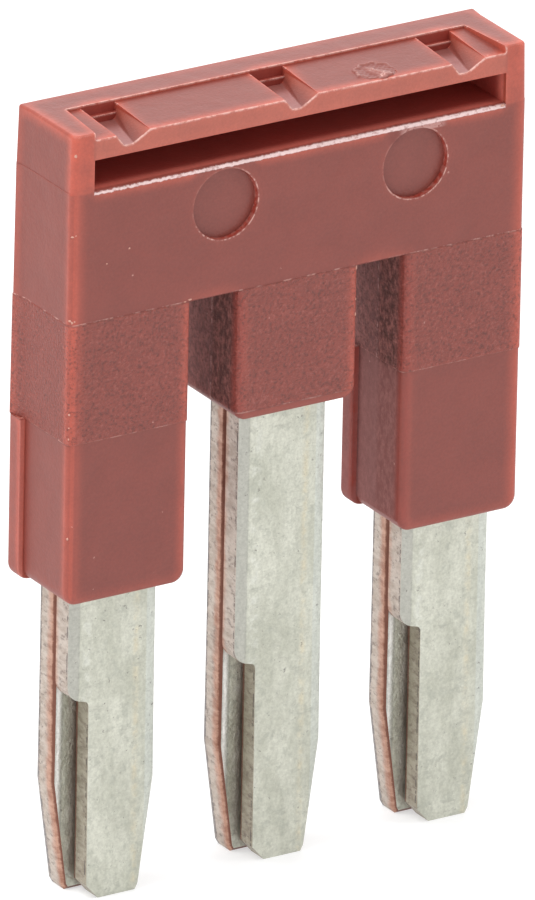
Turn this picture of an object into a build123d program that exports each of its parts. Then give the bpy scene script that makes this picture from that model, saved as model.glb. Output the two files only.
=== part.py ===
from build123d import *
import os

os.makedirs("parts", exist_ok=True)

# Three-pole plug-in bridge for rail terminal blocks, in millimetres.
# The origin is under the middle prong, on the plane of the prong tips.
# X runs along the row of poles, Y from the slotted front to the plain back, Z up.

# Poles and overall heights
poles = 3
pitch = 5.2
total_height = 22.4
depth = 2.81

# Heights of the moulding, measured down from its top
crown_height = 1.64
block_height = 5.38
grained_height = 8.79
short_leg_height = 9.17
long_leg_height = 13.45

# Widths of the moulding, and how far the crown is set in and the grained zone stands proud
block_end = 1.865
crown_inset = 0.045
leg_width = 3.71
grain_proud = 0.02

# Edge roundings
corner_radius = 0.17
back_corner_radius = 0.08
top_radius = 0.08
leg_bottom_radius = 0.38

# Flared back edge of the ends, which grows downwards, and the square rib that it becomes
flare_width = 0.54
flare_at_top = 0.06
flare_at_rib = 0.165
rib_width = 0.6
rib_height = 0.18
rib_edge_radius = 0.05

# Pry slot across the front
slot_top = 0.76
slot_bottom = 1.64
slot_end_wall = 0.68
slot_back_wall = 0.85
slot_lip_radius = 0.14

# Recessed marking field in the top, open to the front
back_rim = 0.97
end_rim_back = 0.88
end_rim_front = 0.7
field_drop_back = 0.08
field_drop_front = 0.2

# Snap notches that part the marking field into pads, one over each pole
notch_width = 1.04
notch_drop = 0.51
notch_slope_run = 0.24
notch_ramp_run_front = 0.54
notch_ramp_run_back = 0.04
notch_ledge = 0.12
notch_ledge_drop = 0.32
notch_foot_radius = 0.16

# Round ejector marks on the front and the gate mark on the top
mark_diameter = 2.0
mark_spacing = 5.9
mark_shift = 0.64
mark_drop = 2.8
mark_sink = 0.17
gate_diameter = 1.1
gate_from_front = 0.46
gate_sink = 0.02

# Stamped contact combs, two alike laid back to back
sheet = 0.78
prong_width = 2.69
web_top = 2.3
web_bottom = 4.9
insert_clearance = 0.02

# Split tip of a prong, with heights measured up from the tip
shoulder_rise = 5.75
shoulder_fall = 0.18
shoulder_radius = 0.36
cutout_width = 0.66
cutout_radius = 0.12
taper_rise = 3.2
taper_inset = 0.43
tip_corner_rise = 0.16
tip_corner_inset = 0.09
heel_rise = 0.42
heel_inset = 0.36
spread_rise = 6.6
tip_spread = 0.05

# Die roll on the outer face of a prong and the broken edge on its inner face
roll_width = 0.34
roll_drop = 0.06
tip_roll_rise = 0.3
burr_break = 0.08

# Levels worked out from the sizes above
top = total_height
crown_seam = top - crown_height
seam = top - block_height
grain_end = top - grained_height
short_leg_bottom = top - short_leg_height
long_leg_bottom = top - long_leg_height
front = -depth / 2
back = depth / 2
half_row = pitch * (poles - 1) / 2
half_block = half_row + block_end
pole_places = [pitch * i - half_row for i in range(poles)]
outer_poles = [pole_places[0], pole_places[-1]]
inner_poles = pole_places[1:-1]


def box_between(x0, x1, y0, y1, z0, z1):
    """Box from its lowest to its highest corner."""
    return Pos(x0, y0, z0) * Box(x1 - x0, y1 - y0, z1 - z0, align=(Align.MIN, Align.MIN, Align.MIN))


def flare_at(z):
    """How far the back edge of an end stands out at a height."""
    return flare_at_top + (flare_at_rib - flare_at_top) * (top - z) / (top - grain_end)


def flared_plan(x_inner, x_outer, proud, z):
    """Plan of one end at a height, with its outer back edge drawn out."""
    y_back = back + proud
    plan = make_face(
        Polyline(
            (x_inner, front - proud),
            (x_outer, front - proud),
            (x_outer, y_back - flare_width),
            (x_outer + flare_at(z), y_back),
            (x_inner, y_back),
            close=True,
        )
    )
    return Pos(0, 0, z) * plan


def flared_end(x_inner, x_outer, proud, z0, z1):
    """Right-hand end of the moulding between two heights, its outer upright edges rounded."""
    plans = [flared_plan(x_inner, x_outer, proud, z) for z in (z0, z1)]
    end = loft(plans, ruled=True)
    sides = end.faces().sort_by(Axis.Y)
    end = fillet(sides[0].edges().sort_by(Axis.X)[-1], corner_radius)
    sides = end.faces().sort_by(Axis.Y)
    return fillet(sides[-1].edges().sort_by(Axis.X)[-1], back_corner_radius)


def upper_block():
    """Block that bridges the legs: a slightly narrower crown on a wider base, both flared."""
    base = flared_end(0, half_block, 0, seam, crown_seam)
    crown = flared_end(0, half_block - crown_inset, 0, crown_seam, top)
    crown += mirror(crown, Plane.YZ)
    crown = fillet(crown.faces().sort_by(Axis.Z)[-1].outer_wire().edges(), top_radius)
    return base + mirror(base, Plane.YZ) + crown


def grained_long_leg():
    """Upper part of the right-hand long leg, grained and a little proud on every side."""
    x_inner = half_row - leg_width / 2 - grain_proud
    x_outer = half_row + leg_width / 2 + grain_proud
    leg = flared_end(x_inner, x_outer, grain_proud, grain_end, seam)
    inner_corner = leg.faces().sort_by(Axis.X)[0].edges().sort_by(Axis.Y)[0]
    return fillet(inner_corner, corner_radius)


def rounded_slab(x_middle, width, y0, y1, z0, z1):
    """Upright slab whose two bottom corners are rounded as seen from the front."""
    slab = box_between(x_middle - width / 2, x_middle + width / 2, y0, y1, z0, z1)
    lower = slab.edges().filter_by(Axis.Y).group_by(Axis.Z)[0]
    return fillet(lower, leg_bottom_radius)


def soften_front_and_back(solid, radius):
    """Round the outline of the front face and of the back face, except along the top."""
    edges = solid.faces().sort_by(Axis.Y)[0].edges() + solid.faces().sort_by(Axis.Y)[-1].edges()
    z_top = solid.bounding_box().max.Z
    return fillet([edge for edge in edges if edge.center().Z < z_top - radius / 2], radius)


def short_leg(x):
    """Grained middle leg, rounded along its bottom."""
    width = leg_width + 2 * grain_proud
    leg = rounded_slab(x, width, front - grain_proud, back + grain_proud, short_leg_bottom, seam)
    return soften_front_and_back(leg, corner_radius)


def lower_leg(x):
    """Smooth lower part of a long leg, with a square rib down the back of both sides."""
    rib_front = back - rib_width
    leg = rounded_slab(x, leg_width, front, rib_front, long_leg_bottom, grain_end)
    ribs = rounded_slab(x, leg_width + 2 * rib_height, rib_front, back, long_leg_bottom, grain_end)
    rib_edges = ribs.faces().sort_by(Axis.Y)[0].edges()
    ribs = fillet([edge for edge in rib_edges if edge.center().Z < grain_end - rib_height], rib_edge_radius)
    return soften_front_and_back(leg + ribs, corner_radius)


def marking_field():
    """Recess cut into the top: its floor falls to the front and its ends open outwards."""
    y_back = back - back_rim
    x_back = half_block - end_rim_back
    x_front = half_block - end_rim_front
    plan = make_face(
        Polyline(
            (-x_front, front),
            (x_front, front),
            (x_back, y_back),
            (-x_back, y_back),
            close=True,
        )
    )
    side = make_face(
        Polyline(
            (front, top - field_drop_front),
            (y_back, top - field_drop_back),
            (y_back, top),
            (front, top),
            close=True,
        )
    )
    prism = extrude(Pos(0, 0, top - field_drop_front) * plan, field_drop_front)
    return prism & extrude(Plane.YZ * side, x_front, both=True)


def notch_section(x, y, ramp_run):
    """Section of a notch at one depth: a slope on the left, a flat floor and a ramp on the right."""
    left = x - notch_width / 2
    right = x + notch_width / 2
    section = make_face(
        Polyline(
            (left, top),
            (left, top - field_drop_front),
            (left + notch_slope_run, top - notch_drop),
            (right - ramp_run, top - notch_drop),
            (right, top - field_drop_front),
            (right, top),
            close=True,
        )
    )
    foot = section.vertices().sort_by_distance(Vector(right - ramp_run, top - notch_drop, 0))[0]
    return Plane.XZ.offset(-y) * fillet(foot, notch_foot_radius)


def snap_notch(x):
    """Notch across the marking field, whose ramp steepens to a wall, with a ledge behind it."""
    y_back = back - back_rim - notch_ledge
    front_section = notch_section(x, front, notch_ramp_run_front)
    back_section = notch_section(x, y_back, notch_ramp_run_back)
    notch = loft([front_section, back_section], ruled=True)
    left = x - notch_width / 2
    right = x + notch_width / 2
    return notch + box_between(left, right, y_back, back - back_rim, top - notch_ledge_drop, top)


def pry_slot():
    """Long slot for a screwdriver blade, with a rounded lower lip."""
    half_slot = half_block - slot_end_wall
    y_back = back - slot_back_wall
    slot = box_between(-half_slot, half_slot, front, y_back, top - slot_bottom, top - slot_top)
    lip_section = make_face(
        Polyline(
            (front, top - slot_bottom - slot_lip_radius),
            (front + slot_lip_radius, top - slot_bottom),
            (front, top - slot_bottom),
            close=True,
        )
    )
    lip = extrude(Plane.YZ * lip_section, half_slot, both=True)
    rounding = Plane.YZ * Pos(front + slot_lip_radius, top - slot_bottom - slot_lip_radius)
    lip -= extrude(rounding * Circle(slot_lip_radius), half_slot, both=True)
    return slot + lip


def surface_marks():
    """Round ejector marks in the front face and the gate mark between two pads."""
    marks = []
    for side in (-0.5, 0.5):
        place = Pos(mark_shift + side * mark_spacing, front, top - mark_drop)
        marks.append(place * Rot(90, 0, 0) * Cylinder(mark_diameter / 2, 2 * mark_sink))
    field_slope = (field_drop_front - field_drop_back) / (depth - back_rim)
    gate_drop = field_drop_front - field_slope * gate_from_front + gate_sink
    gate_place = Pos(pitch / 2, front + gate_from_front, top - gate_drop / 2)
    marks.append(gate_place * Cylinder(gate_diameter / 2, gate_drop))
    return marks


def insert_cavity():
    """Space that the two combs fill inside the moulding."""
    half_prong = prong_width / 2 + insert_clearance
    half_web = half_row + half_prong
    half_stack = sheet + insert_clearance
    web_high = top - web_top + insert_clearance
    cavity = box_between(-half_web, half_web, -half_stack, half_stack, top - web_bottom, web_high)
    for x in pole_places:
        bottom = long_leg_bottom if x in outer_poles else short_leg_bottom
        cavity += box_between(x - half_prong, x + half_prong, -half_stack, half_stack, bottom, web_high)
    return cavity


def make_housing():
    """One moulding: block, three legs, ribs, slot, marking field and insert cavity."""
    right_leg = grained_long_leg()
    body = upper_block() + right_leg + mirror(right_leg, Plane.YZ)
    for x in inner_poles:
        body += short_leg(x)
    for x in outer_poles:
        body += lower_leg(x)
    body -= marking_field()
    body -= [snap_notch(x) for x in pole_places]
    body -= pry_slot()
    body -= surface_marks()
    return body - insert_cavity()


def prong_outline(x):
    """Front outline of one prong: full width above the shoulder, one tapered tongue below."""
    left = x - prong_width / 2
    right = x + prong_width / 2
    cut = left + cutout_width
    root = top - web_bottom
    outline = make_face(
        Polyline(
            (left, root),
            (left, shoulder_rise + shoulder_fall),
            (cut, shoulder_rise),
            (cut, heel_rise),
            (cut + heel_inset, 0),
            (right - taper_inset - tip_corner_inset, 0),
            (right - taper_inset, tip_corner_rise),
            (right, taper_rise),
            (right, root),
            close=True,
        )
    )
    shoulder = outline.vertices().sort_by_distance(Vector(left, shoulder_rise + shoulder_fall, 0))[0]
    outline = fillet(shoulder, shoulder_radius)
    inside = outline.vertices().sort_by_distance(Vector(cut, shoulder_rise, 0))[0]
    outline = fillet(inside, cutout_radius)
    return outline


def bent_strip():
    """Side profile of the sheet: upright, then spreading away from its mate at the tip."""
    profile = make_face(
        Polyline(
            (0, top - web_top),
            (0, spread_rise),
            (-tip_spread, 0),
            (-tip_spread - sheet, 0),
            (-sheet, spread_rise),
            (-sheet, top - web_top),
            close=True,
        )
    )
    return extrude(Plane.YZ * profile, half_row + prong_width, both=True)


def outer_face_at(z):
    """Y of the sheet's outer face at a height, with the spread of the tip."""
    return -sheet - tip_spread * max(0, 1 - z / spread_rise)


def edge_relief(points, width, drop, inward, into):
    """Wedge run along an edge of the sheet: width is taken off its face, drop off its side."""
    over = width
    cutters = []
    for start, end in zip(points, points[1:]):
        x, y, z = start
        x_far = x - inward * over
        section = make_face(
            Polyline(
                (x + inward * width, y, z),
                (x_far, y + into * drop * (1 + over / width), z),
                (x_far, y - into * over, z),
                (x + inward * width, y - into * over, z),
                close=True,
            )
        )
        run = Vector(*end) - Vector(*start)
        cutters.append(extrude(section, run.length, dir=run.normalized()))
    return cutters


def prong_reliefs(x):
    """Die roll down both outer edges of a prong, and broken inner edges that meet its mate's."""
    left = x - prong_width / 2
    right = x + prong_width / 2
    root = top - web_bottom
    taper_slope = taper_inset / (taper_rise - tip_corner_rise)
    left_edge = [(left, root), (left, spread_rise), (left, shoulder_rise)]
    tip_right = right - taper_slope * taper_rise
    right_edge = [(right, root), (right, spread_rise), (right, taper_rise), (tip_right, 0)]
    cutters = []
    for edge, inward in ((left_edge, 1), (right_edge, -1)):
        outer = [(px, outer_face_at(pz), pz) for px, pz in edge]
        inner = [(px, outer_face_at(pz) + sheet, pz) for px, pz in edge]
        cutters += edge_relief(outer, roll_width, roll_drop, inward, 1)
        cutters += edge_relief(inner, burr_break, burr_break, inward, -1)
    return cutters


def tip_roll():
    """Die roll along the bottom edge of every prong, on the outer face."""
    section = make_face(
        Polyline(
            (outer_face_at(tip_roll_rise), tip_roll_rise),
            (outer_face_at(0) + roll_drop, 0),
            (outer_face_at(0) - roll_drop, 0),
            (outer_face_at(0) - roll_drop, tip_roll_rise),
            close=True,
        )
    )
    return extrude(Plane.YZ * section, half_row + prong_width, both=True)


def make_comb():
    """Front comb: web and three prongs stamped from one sheet, die roll facing the front."""
    half_web = half_row + prong_width / 2
    outline = Pos(0, top - (web_top + web_bottom) / 2) * Rectangle(2 * half_web, web_bottom - web_top)
    for x in pole_places:
        outline += prong_outline(x)
    comb = extrude(Plane.XZ * outline, sheet + tip_spread) & bent_strip()
    for x in pole_places:
        comb -= prong_reliefs(x)
    return comb - tip_roll()


housing = make_housing()
front_comb = make_comb()
rear_comb = front_comb.rotate(Axis.Z, 180)

export_step(housing, "parts/housing.step")
export_step(front_comb, "parts/front_contact_comb.step")
export_step(rear_comb, "parts/rear_contact_comb.step")
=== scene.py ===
# %% [markdown]
# # A plug-in bridge for terminal blocks
# The real part is a red moulding, shaped like a comb with three teeth, on two stamped contact
# combs that lie face to face. It is only 22 mm high, so the camera is close and every burr shows.
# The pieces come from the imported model, which is the frame for everything made here.

import math
import random

import bmesh
import bpy
from mathutils import Matrix, Vector


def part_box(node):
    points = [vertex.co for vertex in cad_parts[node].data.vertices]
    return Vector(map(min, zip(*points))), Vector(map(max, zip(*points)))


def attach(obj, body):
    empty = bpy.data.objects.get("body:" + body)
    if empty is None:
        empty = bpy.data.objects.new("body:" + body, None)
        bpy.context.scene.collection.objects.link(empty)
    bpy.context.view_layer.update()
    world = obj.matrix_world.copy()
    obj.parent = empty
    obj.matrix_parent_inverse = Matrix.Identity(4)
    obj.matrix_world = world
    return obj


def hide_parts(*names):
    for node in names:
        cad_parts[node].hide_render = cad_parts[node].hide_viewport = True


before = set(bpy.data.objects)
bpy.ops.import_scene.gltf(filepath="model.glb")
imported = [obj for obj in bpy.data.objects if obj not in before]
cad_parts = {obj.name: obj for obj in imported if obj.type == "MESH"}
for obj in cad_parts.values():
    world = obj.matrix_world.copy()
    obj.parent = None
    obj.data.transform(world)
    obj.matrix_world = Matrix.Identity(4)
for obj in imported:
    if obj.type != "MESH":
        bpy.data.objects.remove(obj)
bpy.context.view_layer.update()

# %% [markdown]
# ## Camera
# A small part like this is photographed through a long lens, which keeps its uprights parallel.
# The camera therefore stands 0.62 m away and looks down from the front left. Its lens follows
# from how many pixels one metre would cover in an image 900 pixels high.
# The uprights lean a little to the right in the picture, so the camera is rolled by a degree.

# %% Camera
IMAGE_HEIGHT = 900
PIXELS_PER_METRE = 37530
SENSOR_WIDTH = 36
CAMERA_DISTANCE = 0.618
CAMERA_AZIMUTH = math.radians(-31.98)
CAMERA_ELEVATION = math.radians(22.86)
CAMERA_ROLL = math.radians(1.15)
CAMERA_AIM = Vector((0.00002, 0, 0.01155))
NEAREST_SEEN = 0.05
FARTHEST_SEEN = 5


def add_object(name, data):
    """Object for a camera, a light or a mesh, linked to the scene."""
    made = bpy.data.objects.new(name, data)
    bpy.context.scene.collection.objects.link(made)
    return made


def camera_axes(azimuth, elevation, roll):
    """Right, up and backward axes of a camera that looks at the part from a direction."""
    back = Vector((math.sin(azimuth), -math.cos(azimuth), math.tan(elevation))).normalized()
    level = Vector((math.cos(azimuth), math.sin(azimuth), 0))
    upright = back.cross(level)
    right = math.cos(roll) * level + math.sin(roll) * upright
    up = math.cos(roll) * upright - math.sin(roll) * level
    return right, up, back


right, up, back = camera_axes(CAMERA_AZIMUTH, CAMERA_ELEVATION, CAMERA_ROLL)
camera_data = bpy.data.cameras.new("long_lens")
camera_data.sensor_width = SENSOR_WIDTH
camera_data.lens = SENSOR_WIDTH * PIXELS_PER_METRE * CAMERA_DISTANCE / IMAGE_HEIGHT
camera_data.clip_start = NEAREST_SEEN
camera_data.clip_end = FARTHEST_SEEN
camera = add_object("camera", camera_data)
facing = Matrix((right, up, back)).transposed().to_4x4()
camera.matrix_world = Matrix.Translation(CAMERA_AIM + back * CAMERA_DISTANCE) @ facing
bpy.context.scene.camera = camera
print("lens in mm:", round(camera_data.lens, 1))

# %% [markdown]
# ## Node helpers
# Each finish below is a tree of shader nodes. Small helpers keep those trees short: they add a
# node and fill its sockets, do arithmetic, mix two colours, carry a value from one range to
# another and make noise. A socket knows its tree, so most helpers need to be told only their
# values. All patterns read Object coordinates in millimetres, so their numbers are real sizes.


# %% Node helpers
def add_node(tree, kind, inputs=None, **settings):
    """A shader node with its settings, whose inputs are given values or linked to outputs."""
    made = tree.nodes.new("ShaderNode" + kind)
    for name, value in settings.items():
        setattr(made, name, value)
    for name, value in (inputs or {}).items():
        if isinstance(value, bpy.types.NodeSocket):
            tree.links.new(value, made.inputs[name])
        else:
            made.inputs[name].default_value = value
    return made


def tree_of(*values):
    """Node tree that the sockets among some values belong to."""
    return next(value.id_data for value in values if isinstance(value, bpy.types.NodeSocket))


def calc(operation, *values):
    """Result of one Math node."""
    tree = tree_of(*values)
    return add_node(tree, "Math", dict(enumerate(values)), operation=operation).outputs[0]


def blend(share, first, second, mode="MIX"):
    """Colour between two, or their product in another blend mode."""
    tree = tree_of(share, first, second)
    inputs = {"Factor": share, 6: first, 7: second}
    return add_node(tree, "Mix", inputs, data_type="RGBA", blend_type=mode).outputs[2]


def ramp(value, low, high, to_low=0.0, to_high=1.0, smooth=True):
    """Value carried from one range to another and held at its ends."""
    inputs = {"Value": value, "From Min": low, "From Max": high, "To Min": to_low, "To Max": to_high}
    kind = "SMOOTHSTEP" if smooth else "LINEAR"
    node = add_node(value.id_data, "MapRange", inputs, interpolation_type=kind)
    return node.outputs["Result"]


def noise(place, scale, detail=2.0, roughness=0.5, seed=0.0):
    """Soft random value about 0.5, whose grains are about 1 / scale millimetres."""
    tree = place.id_data
    shift = {0: place, 1: (seed, 3 * seed, 7 * seed)}
    shifted = add_node(tree, "VectorMath", shift, operation="ADD").outputs[0]
    inputs = {"Vector": shifted, "Scale": scale, "Detail": detail, "Roughness": roughness}
    return add_node(tree, "TexNoise", inputs).outputs["Fac"]


def millimetres(tree):
    """Place on the piece in millimetres, as one vector and as its three parts."""
    where = add_node(tree, "TexCoord").outputs["Object"]
    place = add_node(tree, "VectorMath", {0: where, "Scale": 1000.0}, operation="SCALE").outputs[0]
    parts = add_node(tree, "SeparateXYZ", {0: place}).outputs
    return place, parts[0], parts[1], parts[2]


def start_material(name, constants):
    """Node material with its Principled shader, whose sockets get constants by name."""
    material = bpy.data.materials.new(name)
    material.use_nodes = True
    tree = material.node_tree
    tree.nodes.clear()
    shader = add_node(tree, "BsdfPrincipled", constants)
    add_node(tree, "OutputMaterial", {"Surface": shader.outputs[0]})
    return material, tree, shader


def link_bump(tree, shader, height, distance):
    """Relief on the shader's normal, whose height of 1 stands for a distance in metres."""
    bump = add_node(tree, "Bump", {"Height": height, "Distance": distance, "Strength": 1.0})
    tree.links.new(bump.outputs[0], shader.inputs["Normal"])


# %% [markdown]
# ## Red polyamide
# The moulding is glass-filled polyamide with a little red pigment. Light travels a few tenths of
# a millimetre inside it, so every convex edge glows orange while the flats stay brick red.
# Real scattering would be slow and noisy, so the glow is a mask: an Ambient Occlusion node that
# looks inwards is dark where the wall is thin or an edge is near.
# The same node with a much shorter reach finds only the sharp edges. Broken up with noise it
# gives pale, frayed painted highlights along the rims and lips of the top.
# The masks need to know where the legs, the slot, the notches and the grain are.

# %% Sizes that the masks need, in millimetres
MM = 0.001
PITCH = 5.2
HALF_LEG = 1.855
TOP = 22.4
FRONT = -1.405
LIP_TOP = 20.76
LIP_BOTTOM = 20.60
SLOT_BOTTOM = 20.75
SLOT_TOP = 21.60
SLOT_END = 6.385
POST_EDGE = 6.4
# The two ejector marks and the blotch are centred at these places, as (x, z).
MARKS = ((-2.31, 19.6), (3.59, 19.6))
BLOTCH = (3.02, 20.47)
MARK_RADIUS = 1.0
MARK_DEPTH = 0.16
# The rim behind the pads starts at the first Y, and the ledge behind a notch at the second.
RIM_EDGE = 0.435
LEDGE_EDGE = 0.315
NOTCH_FLOOR = 21.89
HALF_NOTCH = 0.52
GRAIN_TOP = 17.02
GRAIN_BOTTOM = 13.61
SHORT_GRAIN_BOTTOM = 13.49
LEG_BOTTOM = 8.95
SHORT_LEG_BOTTOM = 13.23
CROWN_SEAM = 20.76
CROWN_INSET = 0.045
RIB_FRONT = 0.805
RIB_START = 7.08
# The short middle leg lies inside this distance from the middle, and the end faces outside that.
MIDDLE_ZONE = 2.55
END_ZONE = 6.85
PARTING = -0.11
# Both reaches of the inward rays and the depth of the grain are in metres.
GLOW_REACH = 0.00042
EDGE_HIGHLIGHT_REACH = 0.00008
GRAIN_DEPTH = 0.00006
print("leg width in mm:", 2 * HALF_LEG, "gap in mm:", round(PITCH - 2 * HALF_LEG, 2))

# %% Colours of the nylon, as linear red, green, blue and alpha
NYLON_FLAT = (0.226, 0.044, 0.031, 1)
NYLON_EDGE = (0.52, 0.090, 0.052, 1)
NYLON_END_EDGE = (0.60, 0.104, 0.060, 1)
NYLON_SHADE = (0.330, 0.045, 0.028, 1)
# Pale nylon for specks and torn flecks, and for the painted highlights on edges, seams and rims.
PALE_SPECK_AND_HIGHLIGHT = (0.78, 0.46, 0.40, 1)
# Painted highlight of the slot's lower lip, which also has a real glint from its lower roughness.
LIP_PAINTED_HIGHLIGHT = (0.84, 0.62, 0.60, 1)
NYLON_DEEP = (0.100, 0.022, 0.016, 1)
RIB_WALL = (0.520, 0.142, 0.108, 1)
# Painted glow of the thin strip over the slot, which light passes through.
STRIP_GLOW_OVER_SLOT = (0.47, 0.120, 0.080, 1)
SLOT_BACK = (0.42, 0.060, 0.046, 1)
SLOT_MOUTH = (0.90, 0.24, 0.185, 1)
# Painted shade and glow of each notch's ramp, painted shade and light on its floor, painted shade on its
# back wall.
NOTCH_RAMP_FOOT_SHADE = (0.160, 0.036, 0.028, 1)
NOTCH_RAMP_HEAD_GLOW = (0.37, 0.082, 0.052, 1)
NOTCH_FLOOR_BACK_SHADE = (0.20, 0.060, 0.050, 1)
NOTCH_FLOOR_FRONT_LIGHT = (0.33, 0.125, 0.115, 1)
NOTCH_WALL_SHADE = (0.28, 0.035, 0.024, 1)
ROUGH_GAP_PIT = (0.085, 0.021, 0.017, 1)
ROUGH_GAP_PEAK = (0.315, 0.108, 0.092, 1)
SMOOTH_GAP_PIT = (0.215, 0.070, 0.062, 1)
SMOOTH_GAP_PEAK = (0.295, 0.112, 0.102, 1)
GAP_BACK = (0.300, 0.130, 0.124, 1)
GAP_FRONT = (0.170, 0.030, 0.022, 1)
PARTING_LINE = (0.60, 0.38, 0.36, 1)
MARK_FLOOR = (0.19, 0.052, 0.040, 1)
# Painted deep red of the light that bounces on the walls of the ejector marks.
MARK_WALL_BOUNCED_LIGHT = (0.42, 0.050, 0.030, 1)
DARK_BLOTCH = (0.16, 0.022, 0.016, 1)
# Pale patch of painted highlight under the slot, where the highlight of the lip widens.
PALE_HIGHLIGHT_PATCH = (0.62, 0.35, 0.32, 1)
# Painted shade for the pits of the grain and painted highlights for its peaks.
GRAIN_PIT_SHADE = (0.120, 0.026, 0.019, 1)
GRAIN_PEAK_HIGHLIGHT = (0.40, 0.135, 0.110, 1)


# %% Arithmetic for masks
def folded(operation, values):
    """One Math operation carried through several values."""
    result = values[0]
    for value in values[1:]:
        result = calc(operation, result, value)
    return result


def times(*values):
    """Product of several values."""
    return folded("MULTIPLY", values)


def total(*values):
    """Sum of several values."""
    return folded("ADD", values)


def highest(*values):
    """Greatest of several values."""
    return folded("MAXIMUM", values)


def absolute(value):
    """Size of a value without its sign."""
    return calc("ABSOLUTE", value)


def minus(value, taken):
    """Difference of two values."""
    return calc("SUBTRACT", value, taken)


def between(value, low, high, soft=0.02):
    """1 where the value lies between two limits, with soft ends."""
    over_low = ramp(value, low - soft, low + soft)
    return times(over_low, ramp(value, high + soft, high - soft))


def fade(mask, least):
    """1 where a mask is 0, falling to the least share where it is 1."""
    return ramp(mask, 0.0, 1.0, 1.0, least)


def paint(colour, mask, strength, paint_colour):
    """Colour with another laid over it where a mask is 1, at a given strength."""
    return blend(times(mask, strength), colour, paint_colour)


# %% Places and edges for masks
def line_at(value, centre, half_width):
    """1 on a thin line where the value equals centre, and 0 beside it."""
    return ramp(absolute(minus(value, centre)), 0.0, half_width, 1.0, 0.0)


def near_edge(tree, reach, start, end):
    """1 on convex edges and thin walls, found by rays that look inwards over a reach in metres."""
    inputs = {"Distance": reach}
    node = add_node(tree, "AmbientOcclusion", inputs, inside=True, only_local=True, samples=12)
    return ramp(node.outputs["AO"], start, end, smooth=False)


def from_pole(x):
    """Signed distance in x from the nearest pole."""
    nearest = calc("ROUND", calc("DIVIDE", x, PITCH))
    return minus(x, times(nearest, PITCH))


def stretched(place, along):
    """Place with each axis scaled, so that a pattern read there is drawn out."""
    inputs = {0: place, 1: along}
    return add_node(place.id_data, "VectorMath", inputs, operation="MULTIPLY").outputs[0]


def slanted(place, rotation, scale):
    """Place turned and scaled, so that a pattern read there runs at a slant."""
    inputs = {"Vector": place, "Rotation": rotation, "Scale": scale}
    return add_node(place.id_data, "Mapping", inputs).outputs[0]


def radius_from(x, z, centre):
    """Distance from a centre in the plane of the front face."""
    across = calc("POWER", minus(x, centre[0]), 2.0)
    upward = calc("POWER", minus(z, centre[1]), 2.0)
    return calc("SQRT", total(across, upward))


def grey(value):
    """The same value in all three colour channels."""
    return add_node(value.id_data, "CombineColor", {0: value, 1: value, 2: value}).outputs[0]


# %% Place on the moulding
class Spot:
    """A place on the moulding, in millimetres, and the zones that several masks share."""

    def __init__(self, tree):
        self.tree = tree
        self.place, self.x, self.y, self.z = millimetres(tree)
        self.outward = absolute(self.x)
        self.off_pole = from_pole(self.x)
        self.side = absolute(self.off_pole)
        self.inner = ramp(self.outward, END_ZONE + 0.05, END_ZONE - 0.05)
        self.gap_face = times(
            ramp(self.side, HALF_LEG - 0.02, HALF_LEG),
            self.inner,
            ramp(self.z, GRAIN_TOP + 0.05, GRAIN_TOP),
        )
        middle = ramp(self.outward, MIDDLE_ZONE + 0.05, MIDDLE_ZONE - 0.05)
        grain_end = ramp(middle, 0.0, 1.0, GRAIN_BOTTOM, SHORT_GRAIN_BOTTOM, smooth=False)
        foot = ramp(middle, 0.0, 1.0, LEG_BOTTOM, SHORT_LEG_BOTTOM, smooth=False)
        self.above_grain_end = minus(self.z, grain_end)
        self.above_foot = minus(self.z, foot)
        self.grained = times(
            ramp(self.above_grain_end, -0.03, 0.03),
            ramp(self.z, GRAIN_TOP + 0.03, GRAIN_TOP - 0.03),
        )
        self.front_face = ramp(self.y, FRONT + 0.045, FRONT + 0.015)
        self.front_or_mark = ramp(self.y, -1.19, -1.23)
        self.uneven = noise(self.place, 2.2, 4.0, 0.65, seed=33.0)


# %% [markdown]
# ### Glow of the edges
# The rays find every edge, but a real edge is dimmer at the seams of the mould, round the ejector
# marks, over the gaps, at the feet and at the back. The broad glows are added after that: they
# lie on the posts of the slot, at the ends of the front and on the right side of each leg.


# %% Edge glow
def broad_glows(at):
    """Soft glows of the posts, of the ends of the front face and of each leg's right side."""
    post = times(
        ramp(at.outward, POST_EDGE - 0.04, POST_EDGE + 0.04),
        between(at.z, CROWN_SEAM - 0.05, TOP - 0.1, 0.06),
        ramp(at.y, -0.9, -1.3),
        ramp(at.uneven, 0.3, 0.7, 0.5, 0.85),
    )
    ends = times(ramp(at.outward, 6.50, 6.96), at.front_face, 0.5)
    leg_side = times(
        ramp(at.off_pole, HALF_LEG - 0.45, HALF_LEG - 0.02),
        at.front_face,
        0.42,
        ramp(at.z, GRAIN_TOP + 0.02, GRAIN_TOP - 0.1),
    )
    return post, ends, leg_side


def edge_glow(at):
    """1 where light shines through an edge, less at seams, marks, gaps, feet and the back."""
    glow = near_edge(at.tree, GLOW_REACH, 0.97, 0.58)
    for level in (at.above_grain_end, minus(at.z, GRAIN_TOP)):
        glow = times(glow, ramp(absolute(level), 0.02, 0.05, 0.35, 1.0))
    for centre in MARKS:
        round_mark = ramp(radius_from(at.x, at.z, centre), 1.5, 1.25)
        halo = times(round_mark, ramp(at.y, -1.1, -1.2))
        glow = times(glow, fade(halo, 0.15))
    over_gap = times(
        between(at.z, GRAIN_TOP, GRAIN_TOP + 0.5),
        ramp(at.side, HALF_LEG - 0.25, HALF_LEG),
        at.inner,
    )
    glow = times(
        glow,
        ramp(at.uneven, 0.3, 0.7, 0.72, 1.0),
        ramp(at.above_foot, 0.1, 0.7, 0.45, 1.0),
        ramp(at.y, 0.9, 1.3, 1.0, 0.45),
        fade(over_gap, 0.3),
        fade(line_at(at.z, CROWN_SEAM, 0.09), 0.35),
    )
    return highest(glow, *broad_glows(at))


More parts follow.
